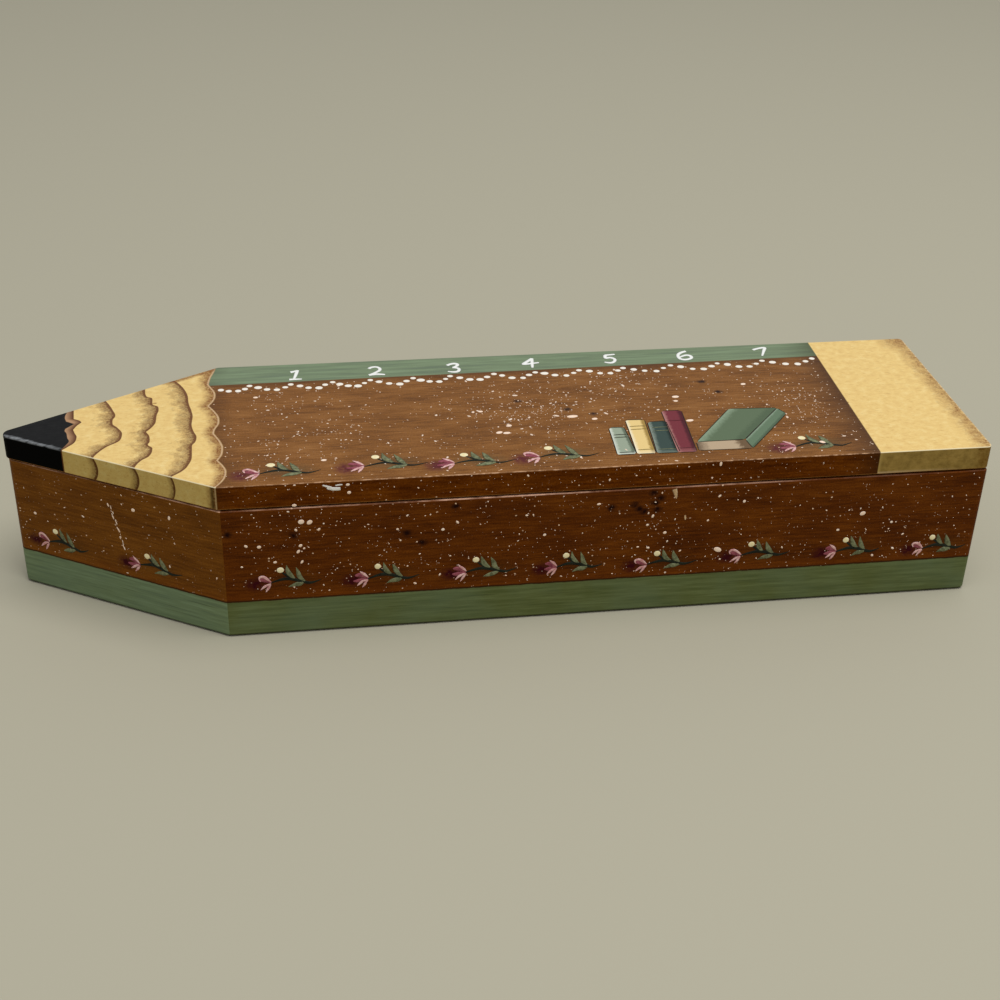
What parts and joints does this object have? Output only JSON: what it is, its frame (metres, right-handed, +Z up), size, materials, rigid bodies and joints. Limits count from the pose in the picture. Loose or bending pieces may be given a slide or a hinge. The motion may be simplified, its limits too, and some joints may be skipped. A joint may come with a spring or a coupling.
{
  "type": "pencil box",
  "caption": "Shallow wooden pencil box in the outline of a pencil, with mitred nose walls, a let-in bottom and a flat lid on brass butt hinges.",
  "frame": {"origin": "centre of the base face, halfway along the lid's length and halfway between the long walls", "axes": "+X from the pencil's point to the square end, +Z up, hinges on the +Y side"},
  "size_m": [0.2914, 0.08, 0.0513],
  "materials": {
    "stained_wall": "brown stain with a green painted band, satin varnish",
    "painted_lid": "brown stain with green, cream and black paint, satin varnish",
    "plywood": "bare sanded plywood",
    "hinge_brass": "rolled sheet, lightly tarnished",
    "screw_brass": "turned, lightly tarnished",
    "steel_wire": "drawn wire"
  },
  "bodies": {
    "box": {"front_wall": "stained_wall", "back_wall": "stained_wall", "end_wall": "stained_wall", "nose_front_wall": "stained_wall", "nose_back_wall": "stained_wall", "bottom_panel": "plywood", "corner_brads": "steel_wire", "bottom_brads": "steel_wire", "left_box_leaf": "hinge_brass", "right_box_leaf": "hinge_brass", "left_hinge_pin": "steel_wire", "right_hinge_pin": "steel_wire", "box_leaf_screws": "screw_brass"},
    "lid": {"lid_board": "painted_lid", "left_lid_leaf": "hinge_brass", "right_lid_leaf": "hinge_brass", "lid_leaf_screws": "screw_brass"}
  },
  "joints": [
    {"name": "lid_hinge", "type": "hinge", "parent": "box", "child": "lid", "pos_m": [0, 0.04015, 0.0428], "axis": [-1, 0, 0], "range_deg": [0, 180]}
  ]
}
